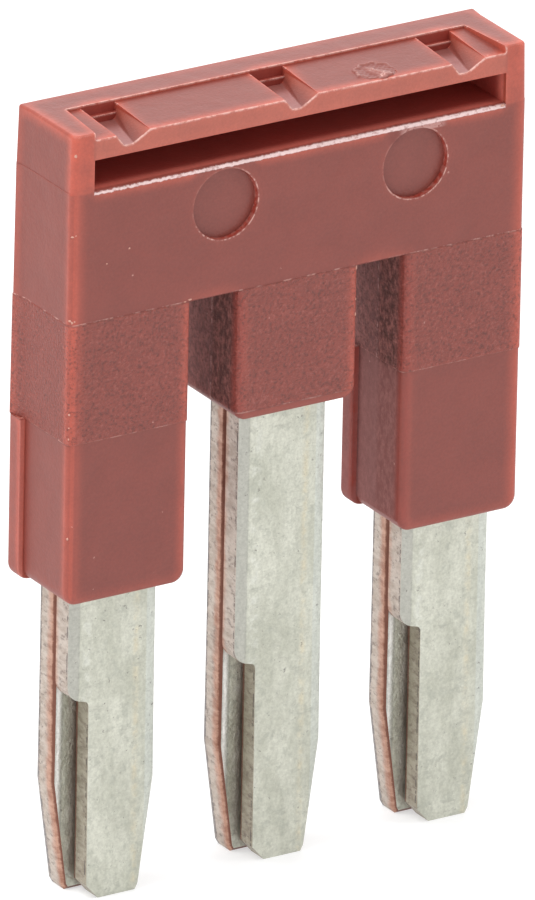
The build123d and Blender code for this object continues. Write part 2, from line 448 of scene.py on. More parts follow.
# %% Flats and edges
def flats_and_edges(at, glow):
    """Brick red flats with orange edges, which are redder where the gaps keep them in shade, and a painted
    glow on the thin strip over the slot.
    """
    shaded_edge = times(
        ramp(at.off_pole, -HALF_LEG + 0.32, -HALF_LEG + 0.16),
        at.inner,
        ramp(at.z, GRAIN_TOP + 0.02, GRAIN_TOP - 0.02),
    )
    end_edge = times(ramp(at.outward, 6.70, 6.95), ramp(at.y, -1.0, -1.3))
    edge_colour = blend(end_edge, NYLON_EDGE, NYLON_END_EDGE)
    edge_colour = blend(shaded_edge, edge_colour, NYLON_SHADE)
    colour = blend(glow, NYLON_FLAT, edge_colour)
    rib_wall = times(
        between(at.y, RIB_FRONT - 0.015, RIB_FRONT + 0.03, 0.01),
        ramp(at.outward, RIB_START - 0.02, RIB_START + 0.02),
        ramp(at.z, GRAIN_BOTTOM, GRAIN_BOTTOM - 0.05),
    )
    colour = blend(rib_wall, colour, RIB_WALL)
    # Painted glow: light passes through the thin strip above the slot and lights it.
    glow_over_slot = times(
        between(at.z, TOP - 0.74, TOP - 0.22, 0.05),
        at.front_face,
        ramp(at.outward, POST_EDGE + 0.1, POST_EDGE - 0.1),
    )
    return paint(colour, glow_over_slot, 0.7, STRIP_GLOW_OVER_SLOT)


# %% [markdown]
# ### Slot, notches and gaps
# Light that bounces about in the slot comes back redder and brighter, most of all near its mouth.
# Each notch has a ramp, a floor and a back wall, which the studio lights to different degrees, and
# that light and shade is painted into their colours: the ramp is shaded at its foot and glows at its
# head, the floor is shaded at the back and lit at the front, and the back wall lies in shade.
# The walls between the legs were dragged rough when the mould opened. They turn pale towards the
# back, where light passes through, and carry the parting line of the mould.


# %% Slot and notches
def slot_and_notches(at, colour):
    """Colour with the painted light that the slot traps and the painted light and shade of each notch."""
    in_slot = times(
        between(at.z, SLOT_BOTTOM, SLOT_TOP, 0.02),
        ramp(at.y, -1.36, -1.2),
        ramp(at.y, 1.0, 0.9),
        ramp(at.outward, POST_EDGE + 0.1, POST_EDGE),
    )
    slot_colour = blend(ramp(at.y, -0.80, -1.25), SLOT_BACK, SLOT_MOUTH)
    colour = paint(colour, in_slot, 0.85, slot_colour)
    in_notch = times(ramp(at.side, HALF_NOTCH + 0.02, HALF_NOTCH - 0.02), ramp(at.z, TOP - 0.6, TOP - 0.55))
    # Painted light and shade of the notch: ramp, floor and back wall.
    on_ramp = times(in_notch, ramp(at.z, TOP - 0.19, TOP - 0.23), between(at.y, -1.39, 0.27, 0.01))
    up_ramp = ramp(at.z, NOTCH_FLOOR + 0.02, NOTCH_FLOOR + 0.32)
    colour = paint(colour, on_ramp, 0.85, blend(up_ramp, NOTCH_RAMP_FOOT_SHADE, NOTCH_RAMP_HEAD_GLOW))
    on_floor = times(
        in_notch,
        between(at.z, NOTCH_FLOOR - 0.012, NOTCH_FLOOR + 0.02, 0.008),
        ramp(at.y, FRONT + 0.01, FRONT + 0.02),
    )
    to_front = ramp(at.y, 0.1, -0.5)
    colour = paint(colour, on_floor, 0.95, blend(to_front, NOTCH_FLOOR_BACK_SHADE, NOTCH_FLOOR_FRONT_LIGHT))
    on_wall = times(in_notch, between(at.y, 0.295, 0.46, 0.01), ramp(at.z, TOP - 0.03, TOP - 0.07))
    return paint(colour, on_wall, 0.75, NOTCH_WALL_SHADE)


# %% Walls of the gaps
def gap_walls(at, colour, glow):
    """Colour with the walls between the legs: rough above, smoother below the grain."""
    coarse = ramp(at.above_grain_end, -0.25, 0.1)
    rough = noise(stretched(at.place, (1, 1.3, 0.8)), 4.2, 4.0, 0.72, seed=5.0)
    rough = ramp(rough, 0.38, 0.66)
    coarse_colour = blend(rough, ROUGH_GAP_PIT, ROUGH_GAP_PEAK)
    smooth_colour = blend(rough, SMOOTH_GAP_PIT, SMOOTH_GAP_PEAK)
    wall_colour = blend(coarse, smooth_colour, coarse_colour)
    wall_colour = blend(ramp(at.y, -0.30, -0.05, 0.0, 0.45), wall_colour, GAP_BACK)
    wall_colour = blend(ramp(at.y, -1.05, -1.22, 0.0, 0.7), wall_colour, GAP_FRONT)
    wall_colour = blend(glow, wall_colour, NYLON_SHADE)
    colour = blend(at.gap_face, colour, wall_colour)
    parting = times(line_at(at.y, PARTING, 0.035), at.gap_face, ramp(rough, 0.2, 0.7, 0.0, 0.6), coarse)
    return blend(parting, colour, PARTING_LINE)


# %% [markdown]
# ### Marks on the front
# Two ejector pins left round recesses. Their rims carry a broken painted highlight, brightest at the
# lower right, and their walls are painted deep red for the light that bounces in them. Under the slot
# there is a dark blotch beside a pale patch of painted highlight, and the lower lip of the slot carries
# a painted highlight over the real glint of its smoother surface.


# %% Ejector marks and wear
def ejector_marks(at, colour, rough):
    """Colour with the floors of the two ejector marks, their walls painted deep red for bounced light, and
    broken painted highlights on their rims.
    """
    for centre in MARKS:
        away = radius_from(at.x, at.z, centre)
        floor_part = times(ramp(away, MARK_RADIUS, MARK_RADIUS - 0.04), at.front_or_mark)
        colour = paint(colour, floor_part, 0.20, MARK_FLOOR)
        # Painted light: the walls of the recess are deep red where light bounces in it.
        bounced_light_on_wall = times(
            between(away, MARK_RADIUS - 0.012, MARK_RADIUS + 0.004, 0.008),
            between(at.y, FRONT + 0.01, FRONT + MARK_DEPTH, 0.008),
        )
        colour = paint(colour, bounced_light_on_wall, 0.85, MARK_WALL_BOUNCED_LIGHT)
        # Painted highlight: a broken pale line round the rim, brightest at the lower right.
        rim_highlight = times(line_at(away, MARK_RADIUS + 0.02, 0.035), ramp(rough, 0.42, 0.6), at.front_or_mark)
        diagonal = minus(minus(at.z, at.x), centre[1] - centre[0])
        lower_right = ramp(diagonal, 0.9, -0.3)
        colour = paint(colour, rim_highlight, ramp(lower_right, 0.0, 1.0, 0.12, 0.65), PALE_SPECK_AND_HIGHLIGHT)
    return colour


def blotch_and_highlight_under_slot(at, colour, rough):
    """Colour with a dark blotch and a pale patch of painted highlight under the right half of the slot."""
    blotch = ramp(radius_from(at.x, at.z, BLOTCH), 0.42, 0.12)
    colour = blend(times(blotch, at.front_or_mark, 0.55), colour, DARK_BLOTCH)
    # Painted highlight: a pale patch that widens the lip's highlight down towards the mark.
    highlight_patch = times(
        between(at.x, 3.15, 4.45, 0.15),
        between(at.z, 20.50, 20.67, 0.03),
        ramp(rough, 0.36, 0.50),
        at.front_or_mark,
    )
    return paint(colour, highlight_patch, 0.55, PALE_HIGHLIGHT_PATCH)


def lip_highlight_band(at, rough):
    """1 on the band of painted highlight along the lower lip of the slot, whose edges waver."""
    wave = noise(stretched(at.place, (1, 0.3, 0.3)), 5.0, 4.0, 0.75, seed=8.0)
    reach = ramp(at.x, -5.5, 1.5, 0.026, 0.010, smooth=False)
    level = total(at.z, times(ramp(wave, 0.25, 0.75, -1.0, 1.0), reach))
    top_of_lip = ramp(at.x, -SLOT_END, 1.0, LIP_TOP - 0.052, LIP_TOP - 0.020, smooth=False)
    return times(
        ramp(level, LIP_BOTTOM + 0.032, LIP_BOTTOM + 0.062),
        ramp(minus(top_of_lip, level), -0.018, 0.012),
        between(at.x, -SLOT_END, SLOT_END),
        ramp(at.y, -1.22, -1.26),
        ramp(rough, 0.33, 0.47, 0.55, 1.0),
    )


# %% [markdown]
# ### Painted highlights, seams and grain
# Painted highlights lie as pale, frayed lines on the rows of sharp edges at the top and faintly at
# the feet. The grain was cut into an insert of the mould, and the joints of that insert left seams
# at its ends: a dark joint under the upper one, and broken pale lines of painted highlight where
# their edges catch light. The grain itself is a noise that is both relief and colour: its pits are
# painted dark as shade and its peaks pale as highlights.


# %% Painted highlights and seams
def edge_highlight_lines(at, colour, frayed):
    """Colour with frayed, pale painted highlights on the sharp edges of the top and of the feet."""
    along_row = highest(
        ramp(at.y, -1.33, -1.36),
        line_at(at.y, RIM_EDGE, 0.09),
        line_at(at.y, LEDGE_EDGE, 0.05),
        ramp(at.y, 1.33, 1.40, 0.0, 0.45),
    )
    top_edges = times(ramp(at.z, TOP - 0.62, TOP - 0.54), along_row)
    foot_edges = ramp(at.above_foot, 0.12, 0.02, 0.0, 0.45)
    # Painted highlight: pale, frayed lines where the sharp edges catch the light.
    edge_highlight = times(
        near_edge(at.tree, EDGE_HIGHLIGHT_REACH, 0.90, 0.62),
        ramp(frayed, 0.37, 0.57, 0.2, 1.0),
        ramp(highest(top_edges, foot_edges), 0.0, 1.0, 0.04, 0.9),
    )
    return blend(edge_highlight, colour, PALE_SPECK_AND_HIGHLIGHT)


def insert_seams(at, colour):
    """Colour with a dark joint under the upper seam and broken painted highlights on both seams."""
    dashes = ramp(noise(at.place, 5.0, 3.0, 0.6, seed=21.0), 0.42, 0.56)
    under_seam = times(line_at(at.z, GRAIN_TOP - 0.02, 0.03), dashes)
    colour = paint(colour, under_seam, 0.35, NYLON_DEEP)
    bits = ramp(noise(at.place, 3.2, 4.0, 0.75, seed=23.0), 0.47, 0.62)
    # Painted highlights: broken pale lines on the seams above and below the grain, where their edges catch
    # light.
    upper_seam_highlight = times(line_at(at.z, GRAIN_TOP + 0.015, 0.03), bits)
    colour = paint(colour, times(upper_seam_highlight, fade(at.gap_face, 0.0)), 0.55, PALE_SPECK_AND_HIGHLIGHT)
    lower_seam_highlight = times(line_at(at.above_grain_end, 0.0, 0.03), bits)
    return paint(colour, lower_seam_highlight, 0.40, PALE_SPECK_AND_HIGHLIGHT)


# %% Grain and specks
def grain_and_specks(at, colour, cloud, pits):
    """Colour with soft clouds and pale specks everywhere, and painted shade in the grain's pits and painted
    highlights on its peaks.
    """
    speckle = noise(at.place, 12.0, 3.0, 0.65, seed=4.0)
    lumps = noise(at.place, 7.0, 2.0, 0.5, seed=41.0)
    lumps = ramp(lumps, 0.36, 0.64, -0.07, 0.07)
    # The grain's tint is raised on its peaks as painted light, and varied at random by the lumps.
    grain_light_and_tone = total(ramp(pits, 0.38, 0.62, 0.00, 0.12), lumps)
    lower_front = times(ramp(at.above_grain_end, 0.02, -0.02), ramp(at.y, -1.3, -1.38))
    tint = total(
        ramp(cloud, 0.3, 0.7, 0.96, 1.04),
        ramp(speckle, 0.3, 0.7, -0.06, 0.06),
        times(lower_front, -0.03),
        times(grain_light_and_tone, at.grained),
    )
    # Painted shade in the pits and painted highlights on the peaks of the grain.
    pit_shade = times(ramp(pits, 0.43, 0.34, 0.0, 0.60), at.grained)
    peak_highlight = times(ramp(pits, 0.60, 0.68, 0.0, 0.30), at.grained)
    colour = blend(pit_shade, colour, GRAIN_PIT_SHADE)
    colour = blend(peak_highlight, colour, GRAIN_PEAK_HIGHLIGHT)
    colour = blend(1.0, colour, grey(tint), "MULTIPLY")
    cells = {"Vector": at.place, "Scale": 1.15, "Randomness": 1.0}
    dots = add_node(at.tree, "TexVoronoi", cells).outputs["Distance"]
    dot = times(ramp(dots, 0.045, 0.02), ramp(speckle, 0.45, 0.6))
    return paint(colour, dot, 0.6, PALE_SPECK_AND_HIGHLIGHT)


# %% Red polyamide
def nylon_material():
    """Satin red polyamide, grained between two levels, with glowing edges, mould lines and painted
    highlights.
    """
    material, tree, shader = start_material("red_polyamide", {"Specular IOR Level": 0.6})
    at = Spot(tree)
    rough = noise(at.place, 7.0, 3.0, 0.65, seed=3.0)
    frayed = noise(at.place, 6.5, 4.0, 0.7, seed=11.0)
    cloud = noise(at.place, 1.1, 3.0)
    pits = noise(at.place, 13.0, 2.0, 0.6, seed=9.0)
    glow = edge_glow(at)
    lip = lip_highlight_band(at, rough)
    colour = flats_and_edges(at, glow)
    colour = slot_and_notches(at, colour)
    colour = gap_walls(at, colour, glow)
    colour = ejector_marks(at, colour, rough)
    colour = blotch_and_highlight_under_slot(at, colour, rough)
    # Painted highlight on the lower lip of the slot, over the real glint that its lower roughness gives.
    colour = blend(lip, colour, LIP_PAINTED_HIGHLIGHT)
    colour = edge_highlight_lines(at, colour, frayed)
    colour = insert_seams(at, colour)
    colour = grain_and_specks(at, colour, cloud, pits)
    tree.links.new(colour, shader.inputs["Base Color"])
    relief = total(
        times(pits, ramp(at.grained, 0.0, 1.0, 0.15, 1.0)),
        ramp(cloud, 0.0, 1.0, 0.0, 0.5),
        times(frayed, ramp(lip, 0.0, 1.0, 0.0, 0.35)),
    )
    link_bump(tree, shader, relief, GRAIN_DEPTH)
    dull = ramp(at.gap_face, 0.0, 1.0, 0.47, 0.90)
    tree.links.new(minus(dull, times(lip, 0.15)), shader.inputs["Roughness"])
    return material


red_polyamide = nylon_material()
print("nodes in the nylon:", len(red_polyamide.node_tree.nodes))

# %% [markdown]
# ## Tin plate
# The sheet was plated before it was stamped. Its faces are dull, slightly green-grey tin with soft
# blotches, dark specks and slanting scratches. The die rolls run down both sides of each prong, and
# their light and shade are painted: the left one lies in painted shade behind a crease of painted
# shade, and the right one is painted a little lighter. A pale strip of painted highlight runs beside
# the left roll, and the edges at the joint carry a painted highlight.

# %% Colours of the tin, as linear red, green, blue and alpha
ROLL_START = 1.03
TIN_DARK = (0.475, 0.480, 0.405, 1)
TIN_LIGHT = (0.625, 0.628, 0.545, 1)
TIN_PATCH = (0.435, 0.445, 0.385, 1)
# Painted highlight of a pale strip beside the left roll.
TIN_PALE_HIGHLIGHT = (0.72, 0.73, 0.68, 1)
TIN_YELLOWED = (0.62, 0.565, 0.42, 1)
# Painted shade on the left roll and its crease, painted light on the right roll, painted highlight at the
# joint.
LEFT_ROLL_SHADE = (0.435, 0.430, 0.390, 1)
ROLL_CREASE_SHADE = (0.30, 0.295, 0.27, 1)
RIGHT_ROLL_LIGHT = (0.60, 0.64, 0.62, 1)
JOINT_HIGHLIGHT = (0.90, 0.89, 0.86, 1)
TIN_SPECK = (0.16, 0.15, 0.14, 1)
TIN_SCRATCH = (0.34, 0.33, 0.29, 1)
TIN_RELIEF = 0.00003


# %% Tin plate
def tin_strips(colour, side, depth, patch):
    """Colour with the strips down each prong: a painted highlight, yellowed tin, the painted light and
    shade of the die rolls and a painted highlight at the joint.
    """
    # Painted highlight: a pale strip beside the left roll.
    pale_highlight = times(line_at(side, -0.80, 0.24), ramp(patch, 0.54, 0.38, 0.0, 0.4))
    colour = blend(pale_highlight, colour, TIN_PALE_HIGHLIGHT)
    yellowed = times(line_at(side, 0.74, 0.16), ramp(patch, 0.35, 0.6, 0.7, 0.1))
    colour = blend(yellowed, colour, TIN_YELLOWED)
    wandering = total(side, ramp(patch, 0.3, 0.7, -0.03, 0.03))
    # Painted shade on the left die roll and in its crease, and painted light on the right one.
    left_roll_shade = ramp(wandering, -ROLL_START + 0.03, -ROLL_START - 0.06)
    colour = paint(colour, left_roll_shade, 0.8, LEFT_ROLL_SHADE)
    crease_shade = times(line_at(side, -ROLL_START - 0.01, 0.05), ramp(patch, 0.35, 0.6))
    colour = paint(colour, crease_shade, 0.5, ROLL_CREASE_SHADE)
    right_roll_light = ramp(side, ROLL_START, ROLL_START + 0.05)
    colour = paint(colour, right_roll_light, 0.4, RIGHT_ROLL_LIGHT)
    # Painted highlight on the edges of the joint face.
    joint_highlight = line_at(absolute(side), 1.17, 0.13)
    return blend(times(ramp(depth, 0.09, 0.06), joint_highlight), colour, JOINT_HIGHLIGHT)


def tin_wear(colour, place, patch, grit):
    """Colour with dark specks and fine slanting scratches."""
    stains = noise(place, 5.5, 4.0, 0.75, seed=17.0)
    specks = times(ramp(stains, 0.62, 0.675), ramp(grit, 0.4, 0.6))
    colour = paint(colour, specks, 0.75, TIN_SPECK)
    hair = noise(slanted(place, (0.0, 0.7, 0.0), (0.35, 1.0, 2.6)), 1.5, 2.0, 0.5, seed=19.0)
    scratches = times(ramp(hair, 0.488, 0.5), ramp(hair, 0.512, 0.5))
    return paint(colour, scratches, ramp(patch, 0.4, 0.6, 0.05, 0.3), TIN_SCRATCH)


def tin_material():
    """Dull tin plate with soft blotches, strips partly of painted light and shade, specks and scratches."""
    material, tree, shader = start_material("tin_plate", {"Metallic": 0.88})
    place, x, y, _ = millimetres(tree)
    cloud = noise(stretched(place, (1, 1, 0.45)), 1.1, 5.0, 0.62, seed=2.0)
    patch = noise(place, 3.4, 4.0, 0.65, seed=12.0)
    fine = noise(stretched(place, (2.2, 2.2, 1.1)), 3.2, 4.0, 0.7, seed=14.0)
    grit = noise(place, 13.0, 3.0, 0.65, seed=15.0)
    colour = blend(ramp(cloud, 0.34, 0.66), TIN_DARK, TIN_LIGHT)
    colour = blend(ramp(patch, 0.52, 0.66, 0.0, 0.55), colour, TIN_PATCH)
    colour = tin_strips(colour, from_pole(x), absolute(y), patch)
    shade = total(ramp(fine, 0.3, 0.7, 0.92, 1.05), ramp(grit, 0.3, 0.7, -0.08, 0.08))
    colour = blend(1.0, colour, grey(shade), "MULTIPLY")
    colour = tin_wear(colour, place, patch, grit)
    tree.links.new(colour, shader.inputs["Base Color"])
    tree.links.new(ramp(cloud, 0.35, 0.65, 0.38, 0.48), shader.inputs["Roughness"])
    relief = total(patch, ramp(grit, 0.0, 1.0, 0.0, 0.35))
    link_bump(tree, shader, relief, TIN_RELIEF)
    return material


tin_plate = tin_material()
print("nodes in the tin:", len(tin_plate.node_tree.nodes))

# %% [markdown]
# ## Sheared copper
# The punch smeared some tin over the outer half of each cut edge, and tore the inner half open,
# where bare copper shows with slanting scratches. On the walls of the cut-out the smear reaches
# further in. Where the two combs meet, the broken edges leave a narrow groove that is painted dark
# with shade, and the gap in the cut-out is painted dark with its shadow.

# %% Colours of the cut edges, as linear red, green, blue and alpha
COPPER_DARK = (0.36, 0.18, 0.125, 1)
COPPER_LIGHT = (0.57, 0.345, 0.26, 1)
SMEAR_DARK = (0.43, 0.355, 0.30, 1)
SMEAR_LIGHT = (0.575, 0.50, 0.44, 1)
CUTOUT_DARK = (0.31, 0.27, 0.21, 1)
CUTOUT_LIGHT = (0.44, 0.40, 0.32, 1)
TORN_COPPER = (0.17, 0.13, 0.115, 1)
BURR_SHADE = (0.10, 0.085, 0.08, 1)
# Painted shade in the groove at the joint, and painted shadow in the gap of the cut-out.
GROOVE_SHADE = (0.20, 0.085, 0.060, 1)
CUTOUT_GAP_SHADOW = (0.185, 0.080, 0.055, 1)
REAR_EDGE = (0.24, 0.235, 0.25, 1)
SHEARED_RELIEF = 0.00004


# %% Sheared copper
def smear_over_copper(y, in_cutout, slants, wander):
    """Bare copper near the joint, and smeared tin from a wandering line outwards."""
    streaks = ramp(slants, 0.34, 0.62)
    smeared = blend(streaks, SMEAR_DARK, SMEAR_LIGHT)
    smeared = blend(in_cutout, smeared, blend(streaks, CUTOUT_DARK, CUTOUT_LIGHT))
    copper = blend(ramp(slants, 0.32, 0.65), COPPER_DARK, COPPER_LIGHT)
    wandering = total(
        absolute(y),
        ramp(wander, 0.2, 0.8, -0.10, 0.10, smooth=False),
        ramp(in_cutout, 0.0, 1.0, 0.0, 0.16, smooth=False),
        ramp(y, 0.05, -0.05, 0.0, 0.13),
    )
    return blend(ramp(wandering, 0.16, 0.44), copper, smeared)


def tears_and_groove_shade(colour, place, depth, in_cutout):
    """Colour with torn spots, a dark line under the burr, painted shade in the groove and painted shadow in
    the gap of the cut-out.
    """
    tears = noise(stretched(place, (1, 1, 1.7)), 4.0, 4.0, 0.75, seed=16.0)
    torn = times(ramp(tears, 0.53, 0.66), ramp(depth, 0.10, 0.4))
    colour = paint(colour, torn, 0.65, TORN_COPPER)
    broken = ramp(noise(place, 5.0, 4.0, 0.75, seed=26.0), 0.47, 0.53)
    under_burr = times(line_at(depth, 0.67, 0.055), broken)
    colour = paint(colour, under_burr, 0.85, BURR_SHADE)
    ragged = total(depth, ramp(broken, 0.0, 1.0, 0.0, 0.012))
    # Painted shade in the groove where the combs meet, and painted shadow near the joint in the cut-out.
    colour = blend(ramp(ragged, 0.115, 0.070), colour, GROOVE_SHADE)
    return blend(times(in_cutout, ramp(ragged, 0.24, 0.17)), colour, CUTOUT_GAP_SHADOW)


def sheared_material():
    """Cut edge of the sheet: smeared tin outside, bare copper inside, painted shade in the groove at the
    joint.
    """
    constants = {"Metallic": 0.8, "Roughness": 0.45}
    material, tree, shader = start_material("sheared_edge", constants)
    place, x, y, _ = millimetres(tree)
    slants = noise(slanted(place, (0.75, 0.0, 0.0), (1.0, 1.2, 2.6)), 1.8, 4.0, 0.7, seed=6.0)
    wander = noise(place, 2.4, 3.0, 0.6, seed=6.0)
    in_cutout = ramp(absolute(from_pole(x)), 0.80, 0.74)
    colour = smear_over_copper(y, in_cutout, slants, wander)
    colour = tears_and_groove_shade(colour, place, absolute(y), in_cutout)
    rear_edge = times(ramp(y, 0.62, 0.72), ramp(wander, 0.3, 0.6, 0.4, 0.8))
    colour = blend(rear_edge, colour, REAR_EDGE)
    tree.links.new(colour, shader.inputs["Base Color"])
    link_bump(tree, shader, total(slants, wander), SHEARED_RELIEF)
    return material


sheared_edge = sheared_material()
print("nodes in the cut edge:", len(sheared_edge.node_tree.nodes))

# %% [markdown]
# ## Housing
# The housing has the shape that the CAD model gives it, so the piece shown is a copy of that
# mesh. The CAD triangles are loose, so the copy is merged first. The crown stands back a little
# at both ends, and the photo hardly shows that step, so the foot of the crown is drawn outwards.
# Edges that turn by more than 30 degrees are marked sharp, and a Weighted Normal modifier lets
# the large flats rule the shading, so that the roundings between them look smooth.

# %% Mesh helpers
SHARP_ANGLE = math.radians(30)
MERGE_DISTANCE = 1e-7


def smooth_between_sharp_edges(bm):
    """Smooth faces, and sharp edges where the surface turns by more than the sharp angle."""
    for face in bm.faces:
        face.smooth = True
    for edge in bm.edges:
        edge.smooth = edge.calc_face_angle(0) < SHARP_ANGLE


def finished_mesh(bm, name):
    """Mesh with what the bmesh holds, under a name. The bmesh is freed."""
    mesh = bpy.data.meshes.new(name)
    bm.to_mesh(mesh)
    bm.free()
    print(name, "faces:", len(mesh.polygons))
    return mesh


def add_piece(name, mesh, slot, *stands_for):
    """Object for a finished mesh, riding on the part's one body."""
    piece = add_object(name, mesh)
    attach(piece, "root")
    if stands_for:
        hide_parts(*stands_for)
    return piece


# %% Housing
STEP_FADE = 0.8
CROWN_END = 6.5


def fade_crown_step(bm):
    """Draws the foot of the crown out to the base, so that only a hair of the step is left."""
    level = CROWN_SEAM * MM
    moved = 0
    for vert in bm.verts:
        on_level = abs(vert.co.z - level) < MERGE_DISTANCE and abs(vert.co.x) > CROWN_END * MM
        goes_up = any(edge.other_vert(vert).co.z > level + MM for edge in vert.link_edges)
        if on_level and goes_up:
            vert.co.x += math.copysign(STEP_FADE * CROWN_INSET * MM, vert.co.x)
            moved += 1
    print("points of the crown's foot moved:", moved)


def merged_copy(node, name):
    """Closed copy of a CAD node's mesh, smooth but for its sharp edges."""
    bm = bmesh.new()
    bm.from_mesh(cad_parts[node].data)
    bmesh.ops.remove_doubles(bm, verts=bm.verts[:], dist=MERGE_DISTANCE)
    fade_crown_step(bm)
    smooth_between_sharp_edges(bm)
    print(name, "open edges:", sum(not edge.is_manifold for edge in bm.edges))
    return finished_mesh(bm, name)


housing_mesh = merged_copy("housing", "moulded_housing")
housing_mesh.materials.clear()
housing_mesh.materials.append(red_polyamide)
housing = add_piece("moulded_housing", housing_mesh, "moulding", "housing")
weighted = housing.modifiers.new("flat_faces_rule", "WEIGHTED_NORMAL")
weighted.keep_sharp = True

# %% [markdown]
# ## Gate scar
# The moulding was filled through a gate on top of the second pad. Trimming the gate left an
# uneven scar: a low rim that is highest behind, and torn ridges that run to the front edge.
# It is a fine grid whose heights are worked out point by point, closed underneath.

# %% Gate scar
FIELD_DROP = 0.2
FIELD_RISE = 0.12
FIELD_DEPTH = 1.84
SCAR_CENTRE = (2.60, -0.84)
SCAR_HALF = (0.66, 0.545)
SCAR_STEPS = 56
# The outline of the scar lies this deep in the floor, and its closed underside deeper still.
SCAR_SINK = 0.035
SCAR_BASE = 0.09
SCAR_RIM = 0.045
# Each ridge: place across the scar, half width, height, where along the scar it ends.
SCAR_RIDGES = (
    (-0.20, 0.050, 0.045, 0.30),
    (-0.03, 0.040, 0.060, 0.10),
    (0.13, 0.055, 0.050, -0.15),
    (0.30, 0.035, 0.035, -0.45),
)


def field_level(y):
    """Height of the marking field's floor, which falls to the front."""
    return TOP - FIELD_DROP + FIELD_RISE * (y - FRONT) / FIELD_DEPTH


def bell(value, half_width):
    """1 at zero, falling off smoothly on both sides."""
    return math.exp(-((value / half_width) ** 2))


def held(value):
    """Value held between 0 and 1."""
    return min(1.0, max(0.0, value))


def scar_height(x, y):
    """Height of the scar over the field's floor, sunk below it outside its outline."""
    across = (x - SCAR_CENTRE[0]) / SCAR_HALF[0]
    along = (y - SCAR_CENTRE[1]) / SCAR_HALF[1]
    away = math.hypot(across, along) + 0.05 * math.sin(9 * math.atan2(along, across))
    inside = held((0.98 - away) / 0.10)
    height = SCAR_RIM * bell(away - 0.82, 0.10) * held(0.75 + along - 0.5 * across)
    bent = across + 0.16 * along + 0.05 * math.sin(7 * along + 2)
    for place, half_width, ridge, end in SCAR_RIDGES:
        run = held((end + 0.35 - along) / 0.35)
        height += ridge * run * bell(bent - place - 0.07 * along * along, 2 * half_width)
    height += 0.008 * math.sin(37 * x + 5) * math.sin(41 * y)
    height += 0.035 * bell(along + 0.72, 0.14) * bell(across - 0.1, 0.35)
    return inside * (SCAR_SINK + height) - SCAR_SINK


def gate_scar_mesh():
    """Closed patch with the scar's relief on its upper side."""
    bm = bmesh.new()
    steps = {"x_segments": SCAR_STEPS, "y_segments": SCAR_STEPS}
    for vert in bmesh.ops.create_grid(bm, size=1.0, **steps)["verts"]:
        x = SCAR_CENTRE[0] + vert.co.x * SCAR_HALF[0]
        y = SCAR_CENTRE[1] + vert.co.y * SCAR_HALF[1]
        vert.co = (x, y, field_level(y) + scar_height(x, y))
    under = bmesh.ops.extrude_face_region(bm, geom=bm.faces[:], use_keep_orig=True)["geom"]
    low = [item for item in under if isinstance(item, bmesh.types.BMVert)]
    for vert in low:
        vert.co.z = field_level(vert.co.y) - SCAR_BASE
    bmesh.ops.recalc_face_normals(bm, faces=bm.faces[:])
    for face in bm.faces:
        face.smooth = face.normal.z > 0.2
    bmesh.ops.scale(bm, verts=bm.verts[:], vec=(MM, MM, MM))
    return finished_mesh(bm, "gate_scar")


# %% Torn nylon
TORN_LOW = (0.235, 0.056, 0.042, 1)
TORN_HIGH = (0.38, 0.145, 0.120, 1)


def torn_material():
    """Torn nylon of the gate: about as dark as the skin, but paler on its ridges."""
    constants = {"Roughness": 0.42, "Specular IOR Level": 0.6}
    material, tree, shader = start_material("torn_polyamide", constants)
    place, _, y, z = millimetres(tree)
    field = times(minus(y, FRONT), FIELD_RISE / FIELD_DEPTH)
    raised = ramp(minus(z, total(TOP - FIELD_DROP, field)), 0.0, 0.085)
    grain = noise(place, 9.0, 3.0, 0.6, seed=31.0)
    colour = blend(raised, TORN_LOW, TORN_HIGH)
    colour = paint(colour, ramp(grain, 0.56, 0.70), ramp(raised, 0.3, 0.8), PALE_SPECK_AND_HIGHLIGHT)
    tree.links.new(colour, shader.inputs["Base Color"])
    return material


scar_mesh = gate_scar_mesh()
scar_mesh.materials.append(torn_material())
add_piece("gate_scar", scar_mesh, "moulding")

# %% [markdown]
# ## Flakes of flash
# Tiny flakes of nylon cling to the sharp upright edges and to the moulding lines. Each is a
# small uneven lump, half sunk into the surface, and they all go into one piece.

# %% Flakes of flash
FLAKE_SEED = 7
PALE_NYLON = (0.60, 0.31, 0.24, 1)
# Each flake: place in millimetres, then half its length along X, Y and Z.
FLAKES = (
    (-6.985, -1.350, 19.57, 0.080, 0.050, 0.032),
    (-6.925, -1.388, 19.60, 0.032, 0.024, 0.030),
    (-7.020, -1.325, 17.17, 0.050, 0.042, 0.042),
    (-6.975, -1.362, 17.12, 0.050, 0.036, 0.050),
    (-6.920, -1.392, 17.15, 0.036, 0.020, 0.032),
    (-6.950, -1.375, 21.86, 0.050, 0.030, 0.050),
    (-7.020, -1.360, 14.50, 0.035, 0.035, 0.045),
    (-7.020, -1.360, 14.12, 0.030, 0.030, 0.030),
    (-7.025, -1.355, 13.80, 0.030, 0.030, 0.050),
    (-7.010, -1.350, 10.93, 0.035, 0.035, 0.040),
    (-5.27, -1.400, 18.92, 0.035, 0.012, 0.035),
    (-5.96, -1.400, 18.62, 0.030, 0.010, 0.030),
    (-3.36, -1.400, 17.08, 0.070, 0.018, 0.030),
    (-3.52, -1.400, 17.04, 0.050, 0.018, 0.025),
    (1.815, -1.385, 16.96, 0.030, 0.030, 0.080),
    (1.815, -1.385, 15.62, 0.028, 0.028, 0.060),
    (1.815, -1.385, 16.05, 0.022, 0.025, 0.035),
    (6.30, -1.400, 20.72, 0.070, 0.012, 0.040),
)


